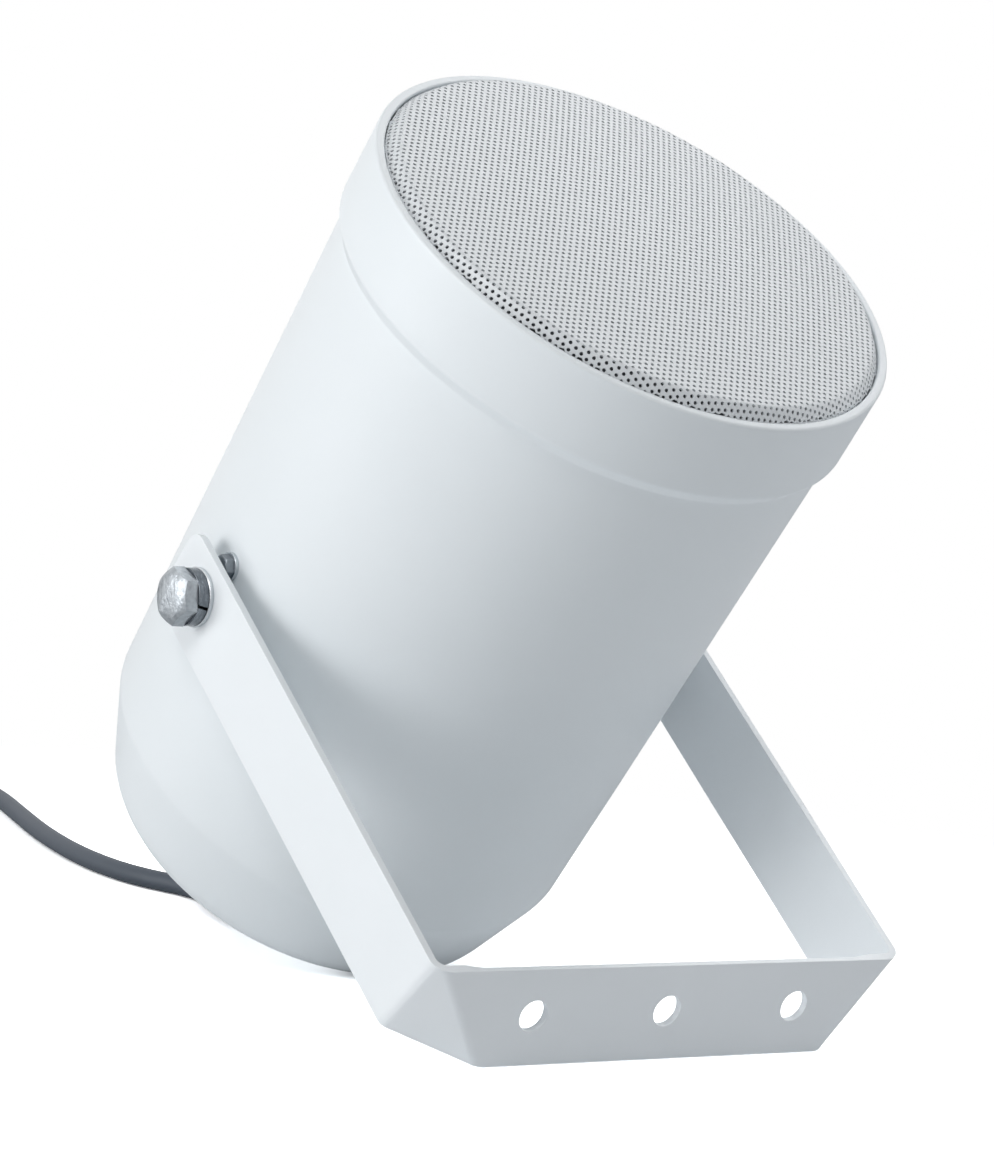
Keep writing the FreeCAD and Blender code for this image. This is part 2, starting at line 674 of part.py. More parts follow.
def bracket():
    """Flat strip folded twice at each corner, drilled for the pivots and for three fixing screws."""
    tilt = math.radians(CROSSBAR_TILT)
    rear_z = STRIP_FRONT_Z - STRIP_W
    down = V(0, -math.sin(tilt), -math.cos(tilt))
    outward = V(0, -math.cos(tilt), math.sin(tilt))
    top_edge = V(0, CORNER_Y, STRIP_FRONT_Z)
    low_edge = top_edge + down * STRIP_W
    arm = plane((-1, 0, 0), V(-ARM_OUT_X, 0, 0))
    bar = plane(outward, top_edge)
    fold_low = V(-ARM_OUT_X, FOLD_REAR_Y, rear_z)
    fold_bar = V(-ARM_OUT_X + FOLD_INSET, low_edge.y, low_edge.z)
    fold_top = V(-ARM_OUT_X, CORNER_Y + FOLD_TOP, STRIP_FRONT_Z)
    facet = plane_through(fold_low, fold_bar, fold_top)
    arm_in = moved_in(arm, STRIP_T)
    bar_in = moved_in(bar, STRIP_T)
    facet_in = moved_in(facet, STRIP_T)
    bar_top = plane(down, top_edge)
    front = plane((0, 0, 1), V(0, 0, STRIP_FRONT_Z))
    rear = plane((0, 0, -1), V(0, 0, rear_z))
    # Sections across the strip, each as outer front, outer rear, inner rear, inner front
    top_out = meet(facet, bar, bar_top)
    first = [fold_top, fold_low, meet(arm_in, facet_in, rear), meet(arm_in, facet_in, front)]
    facet_front = plane_through(fold_top, top_out, first[3])
    facet_rear = plane_through(fold_low, fold_bar, first[2])
    second = [top_out, fold_bar, meet(facet_in, bar_in, facet_rear), meet(facet_in, bar_in, facet_front)]
    inner_x = -ARM_OUT_X + STRIP_T
    end = [V(-ARM_OUT_X, ARM_TOP_Y, STRIP_FRONT_Z), V(-ARM_OUT_X, ARM_TOP_Y, rear_z),
           V(inner_x, ARM_TOP_Y, rear_z), V(inner_x, ARM_TOP_Y, STRIP_FRONT_Z)]

    def flipped(section):
        return [V(-p.x, p.y, p.z) for p in section]

    sections = [end, first, second, flipped(second), flipped(first), flipped(end)]
    last = sections[-1]
    faces = [Part.Face(Part.makePolygon(end[::-1] + end[-1:])), Part.Face(Part.makePolygon(last + last[:1]))]
    for here, there in zip(sections, sections[1:]):
        for k in range(4):
            n = (k + 1) % 4
            faces.append(Part.Face(Part.makePolygon([here[k], here[n], there[n], there[k], here[k]])))
    strip = Part.Solid(Part.makeShell(faces))
    if strip.Volume < 0:
        strip.reverse()
    # Bends, outer edges and inner edges, then the arms' rounded ends
    folds = []
    for section in sections[1:-1]:
        folds.append((section[0], section[1], BEND_OUT_R))
        folds.append((section[3], section[2], BEND_OUT_R - STRIP_T))
    for a, b, radius in folds:
        strip = strip.makeFillet(radius, [edge_between(strip, a, b)])
    ends = [e for e in strip.Edges if e.BoundBox.YLength < 0.01 and e.BoundBox.ZLength < 0.01
            and e.BoundBox.YMin > ARM_TOP_Y - 0.1]
    strip = strip.makeFillet(ARM_CORNER_R, ends)
    for side in (-1, 1):
        strip = strip.cut(rod(PIVOT_HOLE_R, (side * 60, 0, 0), (side * 80, 0, 0)))
    for k in (-1, 0, 1):
        on_face = top_edge + V(k * FIX_HOLE_STEP, 0, 0) + down * FIX_HOLE_DOWN
        strip = strip.cut(rod(FIX_HOLE_R, tuple(on_face + outward * 3), tuple(on_face - outward * 6)))
    # Between the bends the crossbar's front edge is trimmed square to its face, with a short run-out
    inside = top_edge - outward * (STRIP_T + 1.0)
    flat = V(TRIM_X, 0, 0)
    run_out = V(TRIM_X + TRIM_RUN, 0, 0) - down * TRIM_RISE
    run_back = V(-TRIM_X - TRIM_RUN, 0, 0) - down * TRIM_RISE
    trim = Part.Face(Part.makePolygon([
        inside - flat, inside + flat, inside + run_out, inside + run_back, inside - flat]))
    strip = strip.cut(trim.extrude(outward * (STRIP_T + 2.0)))
    strip.rotate(V(0, 0, 0), V(1, 0, 0), REST_TURN)
    return strip


def edge_between(shape, a, b):
    """The straight edge of the shape that lies along the line from a to b."""
    direction = (b - a).normalize()
    best = None
    for edge in shape.Edges:
        if edge.Curve.TypeId != "Part::GeomLine":
            continue
        ends = [v.Point for v in edge.Vertexes]
        off = max(((p - a) - direction * (p - a).dot(direction)).Length for p in ends)
        if off < 0.02 and (best is None or edge.Length > best.Length):
            best = edge
    return best


# Standing pose

def standing():
    """Turn about X and height of the pivot that put the crossbar's edge and the pot's rear edge down."""
    tilt = math.radians(CROSSBAR_TILT)
    turn = math.radians(REST_TURN)
    y = CORNER_Y - math.sin(tilt) * STRIP_W
    z = STRIP_FRONT_Z - math.cos(tilt) * STRIP_W
    foot = (y * math.cos(turn) - z * math.sin(turn), y * math.sin(turn) + z * math.cos(turn))
    slant = math.atan(BEVEL_SLOPE)
    centre_z = BACK_Z + BACK_ROUND
    bevel_r = BODY_R_BEVEL - BEVEL_SLOPE * (BEVEL_Z - centre_z)
    centre = (-(bevel_r - BACK_ROUND / math.cos(slant)), centre_z)
    span = math.hypot(centre[0] - foot[0], centre[1] - foot[1])
    line = math.atan2(centre[1] - foot[1], centre[0] - foot[0]) - math.asin(BACK_ROUND / span)
    height = -(-math.sin(line) * foot[0] + math.cos(line) * foot[1])
    return math.degrees(-line), height


STAND_TURN, PIVOT_HEIGHT = standing()


def stood(shape, shift=0.0):
    """A copy of the shape turned and lifted into the standing pose."""
    result = shape.copy()
    result.rotate(V(0, 0, 0), V(1, 0, 0), STAND_TURN)
    result.translate(V(0, shift, PIVOT_HEIGHT))
    return result


def pot_to_stand(y, z):
    turn = math.radians(STAND_TURN)
    return y * math.cos(turn) - z * math.sin(turn), y * math.sin(turn) + z * math.cos(turn) + PIVOT_HEIGHT


def cord():
    """Cable from the terminals, straight through the gland, down to the floor and along it to its coil."""
    start = pot_to_stand(0, CORD_IN_Z)
    leave = pot_to_stand(0, BACK_Z - GLAND_OUT - 8.0)
    points = [(0, *start), (0, *leave)] + [(x, y, CORD_R) for x, y in CORD_FLOOR]
    return tube(points, CORD_R, "cord")


def cord_coil():
    """Outer shape of the coiled rest of the cable: two turns wide and two high."""
    x, y = COIL_CENTRE
    wide = 2 * CORD_R
    profile = outline([(COIL_MEAN_R - wide, 0, 2.5), (COIL_MEAN_R + wide, 0, 2.5),
                       (COIL_MEAN_R + wide, 2 * wide, 2.5), (COIL_MEAN_R - wide, 2 * wide, 2.5)])
    loop = Part.Face(profile).revolve(V(0, 0, 0), V(0, 0, 1), 360)
    loop.translate(V(x, y, 0))
    return loop


def cord_tail():
    return tube([(x, y, CORD_R) for x, y in TAIL_FLOOR], CORD_R, "tail")


def cord_cores():
    """The two stripped conductors at the cable's free end."""
    x0, y0 = TAIL_FLOOR[-2]
    x1, y1 = TAIL_FLOOR[-1]
    way = V(x1 - x0, y1 - y0, 0).normalize()
    across = V(way.y, -way.x, 0)
    end = V(x1, y1, CORD_R)
    wires = []
    for side in (-1, 1):
        start = end + across * (1.25 * side)
        sleeve = rod(1.15, tuple(start), tuple(start + way * 18))
        wires.append(sleeve.fuse(rod(0.6, tuple(start + way * 18), tuple(start + way * 25))))
    return Part.makeCompound(wires)


def main():
    os.makedirs("parts", exist_ok=True)
    pot_parts = {
        "housing_shell": housing_shell(), "grille": grille(), "grille_cloth": grille_cloth(),
        "driver_gasket": driver_gasket(), "driver_basket": driver_basket(),
        "driver_screws": driver_screws(), "driver_tags": driver_tags(), "top_plate": top_plate(),
        "magnet": magnet(), "back_plate": back_plate(), "voice_coil": voice_coil(), "spider": spider(),
        "surround": surround(), "cone": cone(), "dust_cap": dust_cap(),
        "transformer_core": transformer_core(), "transformer_coil": transformer_coil(),
        "transformer_strap": transformer_strap(), "transformer_screws": transformer_screws(),
        "terminal_block": terminal_block(), "terminal_screws": terminal_screws(),
        "supply_cores": supply_cores(), "speaker_leads": speaker_leads(), "gland_body": gland_body(),
        "gland_seal": gland_seal(), "gland_nut": gland_nut(), "gland_locknut": gland_locknut(),
        "bracket": bracket()}
    for name, make in (("pivot_bolt", pivot_bolt), ("spring_washer", spring_washer),
                       ("flat_washer", flat_washer), ("pivot_bush", pivot_bush), ("pivot_plate", pivot_plate),
                       ("plate_screws", plate_screws), ("plate_washers", plate_washers)):
        shape = make()
        pot_parts[name + "_left"] = shape
        pot_parts[name + "_right"] = mirrored(shape)
    cord_parts = {
        "cord": cord(), "cord_coil": cord_coil(), "cord_tail": cord_tail(), "cord_cores": cord_cores()}

    # The origin is under the middle of the object's box, without the cable
    placed = {name: stood(shape) for name, shape in pot_parts.items()}
    extent = Part.makeCompound(list(placed.values())).optimalBoundingBox(False)
    shift = -(extent.YMin + extent.YMax) / 2
    print("turn", round(STAND_TURN, 4), "pivot height", round(PIVOT_HEIGHT, 3), "shift", round(shift, 3))
    print("box", [round(v, 2) for v in (extent.XMin, extent.XMax, extent.YMin + shift, extent.YMax + shift,
                                        extent.ZMin, extent.ZMax)])
    placed.update(cord_parts)
    for name, shape in placed.items():
        shape.translate(V(0, shift, 0))
        solids = shape.Solids
        if not solids or not shape.isValid():
            print("PROBLEM", name, "solids", len(solids), "valid", shape.isValid())
        shape = solids[0] if len(solids) == 1 else Part.makeCompound(solids)
        shape.exportStep("parts/" + name + ".step")
    print(len(placed), "parts")


main()
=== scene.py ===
import math

import bmesh
import bpy
import numpy as np
from mathutils import Matrix, Vector


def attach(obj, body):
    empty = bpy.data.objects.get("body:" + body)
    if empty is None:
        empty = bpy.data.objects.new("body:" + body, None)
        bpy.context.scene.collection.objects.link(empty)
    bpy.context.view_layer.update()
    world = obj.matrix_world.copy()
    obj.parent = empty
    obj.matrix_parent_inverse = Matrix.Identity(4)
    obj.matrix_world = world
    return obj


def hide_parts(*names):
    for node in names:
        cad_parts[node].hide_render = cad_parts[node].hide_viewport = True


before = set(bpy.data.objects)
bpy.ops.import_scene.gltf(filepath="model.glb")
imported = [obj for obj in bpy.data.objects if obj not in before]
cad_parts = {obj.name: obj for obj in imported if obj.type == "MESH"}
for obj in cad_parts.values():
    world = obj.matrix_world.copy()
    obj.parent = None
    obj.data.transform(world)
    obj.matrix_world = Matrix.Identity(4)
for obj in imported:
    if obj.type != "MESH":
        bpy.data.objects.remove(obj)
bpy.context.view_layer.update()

# Sizes are in millimetres in the pot's own frame: origin on the pivot axis, +Z towards the grille, +X
# along the pivot axis. stood() turns them into the standing pose, in metres.
MM = 0.001
POT_TURN = math.radians(35.6913)
PIVOT_HEIGHT = 97.880
PIVOT_SHIFT = 17.252

# Pot
RIM_R = 70.0
RIM_Z = 119.4
RIM_WIDTH = 2.5
LIP_Z = 97.6
LEDGE_Z = 94.4
BODY_R_FRONT = 67.75
BODY_R_BEVEL = 64.95
BEVEL_Z = -54.8
BACK_Z = -85.7
BEVEL_SLOPE = 0.343
BACK_ROUND = 15.0
WALL = 3.0
SHOULDER_Z = 101.4
SHOULDER_R = 57.6
SHOULDER_T = 4.0
RIM_DRAFT = 0.05
MOUTH_DRAFT = 0.1
FLAT_X = 65.55
FLAT_END_Z = 13.6
FLAT_RUN_OUT = 1.6
FLAT_RISE = 0.8
FLAT_REACH = 1.9
SHELL_STEP = 1.5
SHELL_COUNT = 320

# Grille
GRILLE_T = 0.6
GRILLE_R = 67.1
GRILLE_TOP_Z = 124.2
GRILLE_DOME_R = 850.0
GRILLE_BEND_R = 1.3
GRILLE_SLOPE = math.radians(50)
GRILLE_BREAK_R = 64.0
GRILLE_SKIRT_Z = 107.0
SKIRT_ROUND = 0.2
SKIRT_COUNT = 256
EDGE_BAND = 1.0
HOLE_PITCH = 1.82
HOLE_R = 0.48
HOLE_SIDES = 8
LATTICE_TURN = math.radians(-2.3)

# Cable
CORD_R = 2.85
COIL_CENTRE = (30.0, 403.25)
COIL_OUTER_R = 29.85
COIL_INNER_R = 24.15
COIL_POINTS = 16
COIL_TURNS = 3.5
TIE_TURN = math.radians(60)
TIE_T = 1.1
TIE_WIDTH = 2.6
TIE_LIFT = 1.2
TIE_HEAD_LENGTH = 5.0
TIE_HEAD_WIDTH = 4.6
TIE_HEAD_HEIGHT = 3.4
CORE_R = 1.15
CORE_LENGTH = 18.0
CORE_APART = 1.25
CORE_SPREAD = 1.1
STRAND_R = 0.2
STRAND_LENGTH = 7.0
STRAND_LAY = 16.0

# Edges sharper than SMOOTH_DEG stay sharp (NODE_SMOOTH_DEG on plain CAD nodes), CAD edges sharper than
# BEVEL_DEG get a small round, faces within FLAT_DEG of one plane are joined, and WELD is in millimetres
SMOOTH_DEG = 35.0
NODE_SMOOTH_DEG = 30.0
BEVEL_DEG = 40.0
FLAT_DEG = 1.0
WELD = 0.002

# Length of one wave of the wave texture at scale 1, in metres
WAVE_LENGTH = 0.314

# Floor, in metres: its half width, how far it lies under the object, where it fades to plain white, and
# how much paler than its own colour the camera sees it
FLOOR_HALF = 9.0
FLOOR_DROP = 0.0002
FADE_START = 0.22
FADE_END = 0.5
FLOOR_LIFT = 3.2
AIR_STRENGTH = 0.02

# Softboxes: name, place in metres, width, watts and colour; all look at the same point
AIM = (0, 0, 0.1)
SOFTBOXES = [
    ("left", (-1.8, -0.1, 0.5), 1.2, 4.2, "#FFFFFF"),
    ("low_left", (-1.9, 0.7, 0.25), 1.2, 24.8, "#FFFFFF"),
    ("upper_left", (-1.3, -0.6, 1.4), 0.7, 9.8, "#FFFFFF"),
    ("front", (0.0, -1.1, 1.65), 1.2, 7.5, "#FFFFFF"),
    ("upper_right", (1.0, 0.3, 1.6), 1.2, 9.0, "#FCFDFF"),
    ("right", (1.8, -0.6, 0.8), 1.2, 7.3, "#FBFCFF")]


# Meshes

def stood(points):
    """Pot frame in millimetres to the row frame in metres."""
    points = np.asarray(points, float)
    cos, sin = math.cos(POT_TURN), math.sin(POT_TURN)
    x, y, z = points[..., 0], points[..., 1], points[..., 2]
    return np.stack([x, y * cos - z * sin + PIVOT_SHIFT, y * sin + z * cos + PIVOT_HEIGHT], -1) * MM


def signed_volume(points, triangles):
    """Sum of a.(b x c) / 6 over the triangles, which is negative for a surface that is inside out."""
    a, b, c = points[triangles[:, 0]], points[triangles[:, 1]], points[triangles[:, 2]]
    return float(np.einsum("ij,ij->i", a, np.cross(b, c)).sum()) / 6


def outward(points, faces):
    """The faces of a closed mesh, turned over if its normals point inwards."""
    faces = [np.asarray(group, int) for group in faces if len(group)]
    fans = [np.stack([g[:, 0], g[:, k], g[:, k + 1]], 1) for g in faces for k in range(1, g.shape[1] - 1)]
    if signed_volume(points - points.mean(0), np.concatenate(fans)) < 0:
        faces = [group[:, ::-1] for group in faces]
    return faces


def add_piece(name, points, faces, body, material, replaces=(), smooth_deg=SMOOTH_DEG):
    """One closed mesh from points in metres and a list of face arrays, each with faces of one length."""
    faces = outward(points, faces)
    mesh = bpy.data.meshes.new(name)
    mesh.from_pydata(points.tolist(), [], [row for group in faces for row in group.tolist()])
    mesh.validate()
    piece = bpy.data.objects.new(name, mesh)
    bpy.context.scene.collection.objects.link(piece)
    settle(piece, body, material, replaces, smooth_deg)
    return piece


def settle(piece, body, material, replaces, smooth_deg):
    """Smooth shading, finish, body and the CAD nodes that the piece stands for."""
    piece.data.shade_smooth()
    piece.data.set_sharp_from_angle(angle=math.radians(smooth_deg))
    piece.data.materials.clear()
    piece.data.materials.append(material)
    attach(piece, body)
    if replaces:
        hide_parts(*replaces)


def rounded(corners, steps=8):
    """Points of a closed outline of (r, z, rounding) corners; a rounded corner becomes an arc of equal
    steps."""
    spots = np.array([c[:2] for c in corners], float)
    line = []
    for i, corner in enumerate(corners):
        radius = corner[2] if len(corner) > 2 else 0
        if not radius:
            line.append(spots[i])
            continue
        back = spots[i - 1] - spots[i]
        on = spots[(i + 1) % len(corners)] - spots[i]
        back, on = back / np.hypot(*back), on / np.hypot(*on)
        half = math.acos(np.clip(back @ on, -1, 1)) / 2
        middle = (back + on) / np.hypot(*(back + on))
        centre = spots[i] + middle * radius / math.sin(half)
        first = spots[i] + back * radius / math.tan(half) - centre
        last = spots[i] + on * radius / math.tan(half) - centre
        start, end = math.atan2(first[1], first[0]), math.atan2(last[1], last[0])
        sweep = (end - start + math.pi) % (2 * math.pi) - math.pi
        angles = start + sweep * np.linspace(0, 1, steps + 1)
        line.extend(centre + radius * np.stack([np.cos(angles), np.sin(angles)], 1))
    return np.array(line)


def filled_in(line, spacing):
    """The outline with its long straight runs divided, so that no step is longer than the spacing."""
    full = []
    for here, there in zip(line, np.roll(line, -1, 0)):
        parts = max(1, math.ceil(np.hypot(*(there - here)) / spacing))
        full.append(here + (there - here) * np.arange(parts)[:, None] / parts)
    return np.concatenate(full)


def turned(line, count):
    """Surface of revolution about Z: x = r cos a, y = r sin a. Points on the axis become single poles.
    Returns points in the pot frame and faces."""
    angles = np.arange(count) * 2 * math.pi / count
    on_axis = line[:, 0] < 1e-6
    rows, points, at = [], [], 0
    for pole, (r, z) in zip(on_axis, line):
        if pole:
            rows.append(np.full(count, at))
            points.append([[0, 0, z]])
            at += 1
        else:
            rows.append(at + np.arange(count))
            points.append(np.stack([r * np.cos(angles), r * np.sin(angles), np.full(count, z)], 1))
            at += count
    rows = np.array(rows)
    here, there = rows, np.roll(rows, -1, 0)
    quads, fans = [], []
    for k in range(len(line)):
        a, b, c, d = here[k], np.roll(here[k], -1), np.roll(there[k], -1), there[k]
        after = (k + 1) % len(line)
        if on_axis[k] and on_axis[after]:
            continue
        if on_axis[k]:
            fans.append(np.stack([a, c, d], 1))
        elif on_axis[after]:
            fans.append(np.stack([a, b, d], 1))
        else:
            quads.append(np.stack([a, b, c, d], 1))
    return np.concatenate(points), [np.concatenate(group) for group in (quads, fans) if group]


def softened(node, body, material, width):
    """A copy of a CAD node with its triangles joined and its sharp edges given a small round."""
    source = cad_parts[node]
    mesh = source.data.copy()
    joined = bmesh.new()
    joined.from_mesh(mesh)
    bmesh.ops.remove_doubles(joined, verts=joined.verts, dist=WELD * MM)
    bmesh.ops.dissolve_limit(
        joined, angle_limit=math.radians(FLAT_DEG), verts=joined.verts, edges=joined.edges)
    joined.to_mesh(mesh)
    joined.free()
    piece = bpy.data.objects.new(node + "_softened", mesh)
    bpy.context.scene.collection.objects.link(piece)
    settle(piece, body, material, (node,), SMOOTH_DEG)
    bevel = piece.modifiers.new("edges", "BEVEL")
    bevel.width = width * MM
    bevel.segments = 3
    bevel.limit_method = "ANGLE"
    bevel.angle_limit = math.radians(BEVEL_DEG)
    bevel.harden_normals = True


# Materials

def linear(code):
    """An sRGB hex colour as linear RGBA."""
    parts = np.array([int(code[k:k + 2], 16) for k in (1, 3, 5)]) / 255
    lit = np.where(parts <= 0.04045, parts / 12.92, ((parts + 0.055) / 1.055) ** 2.4)
    return (*[float(v) for v in lit], 1.0)


def add_node(tree, kind, inputs=None, **settings):
    """Adds one node with its settings; inputs maps a socket to a value or to another node's output."""
    made = tree.nodes.new(kind)
    for key, value in settings.items():
        setattr(made, key, value)
    for key, value in (inputs or {}).items():
        if isinstance(value, bpy.types.NodeSocket):
            tree.links.new(value, made.inputs[key])
        else:
            made.inputs[key].default_value = value
    return made


def blank_material(name):
    """A material with an empty node tree."""
    material = bpy.data.materials.new(name)
    material.use_nodes = True
    tree = material.node_tree
    tree.nodes.clear()
    return material, tree


def size_of(millimetres):
    """Noise scale whose features are about that large on Object coordinates in metres."""
    return 1 / (millimetres * MM)


def surface(name, light, dark, mottle_mm, grain_mm, grain_height, roughness, spread, stretch=(1, 1, 1),
            **sockets):
    """Two close colours mottled by a soft noise, a grain that lifts the surface by grain_height in metres,
    and a roughness that drifts by the spread."""
    material, tree = blank_material(name)
    place = add_node(tree, "ShaderNodeTexCoord").outputs["Object"]
    place = add_node(tree, "ShaderNodeMapping", {"Vector": place, "Scale": stretch}).outputs["Vector"]
    mottle = add_node(tree, "ShaderNodeTexNoise", {
        "Vector": place, "Scale": size_of(mottle_mm), "Detail": 3.0, "Roughness": 0.55}).outputs["Fac"]
    grain = add_node(tree, "ShaderNodeTexNoise", {
        "Vector": place, "Scale": size_of(grain_mm), "Detail": 2.0, "Roughness": 0.6}).outputs["Fac"]
    colour = add_node(tree, "ShaderNodeMix", {
        "Factor": mottle, "A": linear(dark), "B": linear(light)}, data_type="RGBA").outputs["Result"]
    rough = add_node(tree, "ShaderNodeMapRange", {
        "Value": mottle, "To Min": roughness - spread, "To Max": roughness + spread}).outputs["Result"]
    bump = add_node(tree, "ShaderNodeBump", {
        "Height": grain, "Distance": grain_height, "Strength": 1.0}).outputs["Normal"]
    shader = add_node(tree, "ShaderNodeBsdfPrincipled", {
        "Base Color": colour, "Roughness": rough, "Normal": bump, **sockets}).outputs["BSDF"]
    add_node(tree, "ShaderNodeOutputMaterial", {"Surface": shader})
    return material


# Moulded ABS, spark-eroded tool finish: a broad soft sheen without a clear reflection
SHELL_ABS = surface("moulded_white_abs", "#ECF1F4", "#E8EEF1", 45.0, 0.7, 0.000012, 0.42, 0.03)
# Powder-coated steel strip: a slight orange peel of about 1.5 mm under a satin skin
BRACKET_PAINT = surface("white_powder_coat", "#F2F6F9", "#EEF3F6", 30.0, 1.5, 0.00002, 0.32, 0.03)
# The same powder coat on the perforated sheet, whose grain is finer between the holes; its colour is darker
# than the bracket's, a painted shade
GRILLE_PAINT_SHADED = surface("white_powder_coat_on_perforated_sheet_with_painted_shade", "#E2E6E9", "#DDE1E4", 25.0, 0.6, 0.000008,
                       0.36, 0.03)
# Bright zinc plate over forged steel: mottled reflections from the uneven face
BOLT_ZINC = surface("bright_zinc_plate", "#C2C7CB", "#7C8288", 1.6, 0.9, 0.00014, 0.42, 0.10, Metallic=1.0)
# Stamped zinc-plated washers are smoother
WASHER_ZINC = surface("stamped_zinc_plate", "#D6DADD", "#B9BEC3", 3.0, 0.8, 0.00002, 0.22, 0.06, Metallic=1.0)
# Spring steel, dark grey: lighter and darker streaks along the coiled wire
SPRING_STEEL = surface("dark_streaked_spring_steel", "#8E949A", "#3E4349", 2.4, 0.5, 0.00003, 0.26, 0.08,
                       (3.0, 1, 1), Metallic=1.0)
# The small screws' zinc plate is painted darker: painted shade for the shadow behind the arm that they mirror
SCREW_ZINC_PAINTED_SHADE = surface("zinc_plate_with_painted_shade", "#969CA2", "#6E747A", 1.2, 0.5, 0.00004, 0.32, 0.08, Metallic=1.0)
# Zinc-plated steel plates: an even grey with a soft glint
PLATE_STEEL = surface("plated_steel_plate", "#A8ACB0", "#8F9398", 4.0, 0.6, 0.00002, 0.35, 0.06, Metallic=1.0)
# PVC cable jacket, extruded: matt and nearly even, with a broad weak sheen
CORD_PVC = surface("extruded_grey_pvc", "#48505A", "#3F4751", 9.0, 0.8, 0.00002, 0.58, 0.05)
# Moulded polyamide of the gland and the tie: pale grey and matt
GLAND_PA = surface("moulded_grey_polyamide", "#C3C7CA", "#B7BBBF", 12.0, 0.8, 0.00002, 0.5, 0.04)
# Rubber seal and surround: black, without a reflection
RUBBER = surface("black_rubber", "#1B1C1E", "#131415", 5.0, 0.8, 0.00002, 0.7, 0.05)
# Stove enamel on the basket: black with a clear sheen
BLACK_ENAMEL = surface("black_enamel_on_pressed_steel", "#18191A", "#101112", 9.0, 1.2, 0.00002, 0.35, 0.05)
# Sintered magnet: dark grey, dry and slightly rough
FERRITE = surface("sintered_ferrite", "#2B2D30", "#1E1F21", 3.0, 0.5, 0.00005, 0.75, 0.05)
# Cone paper: black felted pulp with a visible fibre grain
PAPER = surface("pressed_pulp", "#232427", "#17181A", 2.5, 0.7, 0.00010, 0.9, 0.03)
# Spider: yellow-brown cloth stiffened with resin
SPIDER_CLOTH = surface("resin_cloth", "#C6A45C", "#A98745", 3.0, 0.5, 0.00010, 0.85, 0.03)
# Bare copper of the voice coil and the strands: warm, bright reflections
COPPER = surface("drawn_copper", "#D08A5C", "#B5704A", 1.5, 0.4, 0.00003, 0.3, 0.06, Metallic=1.0)
# Stacked laminations: fine dark lines across the core
CORE_STEEL = surface("laminated_core_steel", "#5B5853", "#46433F", 0.7, 0.35, 0.00005, 0.5, 0.05,
                     (0.02, 1, 1), Metallic=1.0)
# Yellow tape round the winding: satin
BOBBIN = surface("taped_winding", "#C5AF62", "#AF984D", 6.0, 0.8, 0.00005, 0.45, 0.05)
# Natural polyamide: cream and slightly glossy
TERMINAL_PA = surface("moulded_natural_polyamide", "#DAD9D1", "#CFCEC6", 8.0, 0.8, 0.00002, 0.45, 0.04)
# Turned brass terminal screws: yellow reflections
BRASS = surface("turned_brass", "#CFAF62", "#B4944A", 2.0, 0.4, 0.00003, 0.3, 0.05, Metallic=1.0)
# Phenolic tag strip: brown and dull
TAG_BOARD = surface("phenolic_laminate", "#7C5231", "#6A4426", 3.0, 0.5, 0.00003, 0.55, 0.05)
# Core insulation in the two mains colours: satin PVC
CORE_BROWN = surface("brown_core_insulation", "#5A3A26", "#4D301F", 5.0, 0.8, 0.00002, 0.45, 0.04)
CORE_BLUE = surface("blue_core_insulation", "#2F5C8C", "#274F7C", 5.0, 0.8, 0.00002, 0.45, 0.04)
# Closed-cell gasket foam: black with tiny pores
FOAM = surface("closed_foam", "#1E1F21", "#141516", 1.2, 0.4, 0.0001, 0.9, 0.03)


def woven(name, light, dark, thread_mm):
    """Plain weave: two crossed waves one thread wide lift the surface and darken it between the threads."""
    material, tree = blank_material(name)
    place = add_node(tree, "ShaderNodeTexCoord").outputs["Object"]
    waves = []
    for axis in ("X", "Y"):
        waves.append(add_node(tree, "ShaderNodeTexWave", {
            "Vector": place, "Scale": WAVE_LENGTH / (2 * thread_mm * MM), "Distortion": 0.6, "Detail": 1.0},
            bands_direction=axis).outputs["Fac"])
    cloth = add_node(tree, "ShaderNodeMath", {0: waves[0], 1: waves[1]}, operation="MAXIMUM").outputs["Value"]
    colour = add_node(tree, "ShaderNodeMix", {
        "Factor": cloth, "A": linear(dark), "B": linear(light)}, data_type="RGBA").outputs["Result"]
    bump = add_node(tree, "ShaderNodeBump", {"Height": cloth, "Distance": 0.0001}).outputs["Normal"]
    shader = add_node(tree, "ShaderNodeBsdfPrincipled", {
        "Base Color": colour, "Roughness": 0.95, "Sheen Weight": 0.2, "Normal": bump}).outputs["BSDF"]
    add_node(tree, "ShaderNodeOutputMaterial", {"Surface": shader})
    return material


ACOUSTIC_CLOTH = woven("acoustic_cloth", "#74787C", "#5C6064", 0.5)

FINISHES = {
    "grille_cloth": ACOUSTIC_CLOTH, "driver_gasket": FOAM, "driver_basket": BLACK_ENAMEL,
    "driver_screws": WASHER_ZINC, "driver_tags": TAG_BOARD, "top_plate": PLATE_STEEL, "magnet": FERRITE,
    "back_plate": PLATE_STEEL, "voice_coil": COPPER, "spider": SPIDER_CLOTH, "surround": RUBBER,
    "cone": PAPER, "dust_cap": PAPER, "transformer_core": CORE_STEEL, "transformer_coil": BOBBIN,
    "transformer_strap": WASHER_ZINC, "transformer_screws": WASHER_ZINC, "terminal_block": TERMINAL_PA,
    "terminal_screws": BRASS, "supply_cores": CORE_BROWN, "speaker_leads": CORE_BROWN,
    "gland_body": GLAND_PA, "gland_seal": RUBBER, "gland_nut": GLAND_PA, "gland_locknut": GLAND_PA,
    "housing_shell": SHELL_ABS, "grille": GRILLE_PAINT_SHADED, "bracket": BRACKET_PAINT, "cord": CORD_PVC,
    "cord_coil": CORD_PVC, "cord_tail": CORD_PVC, "cord_cores": CORE_BROWN}
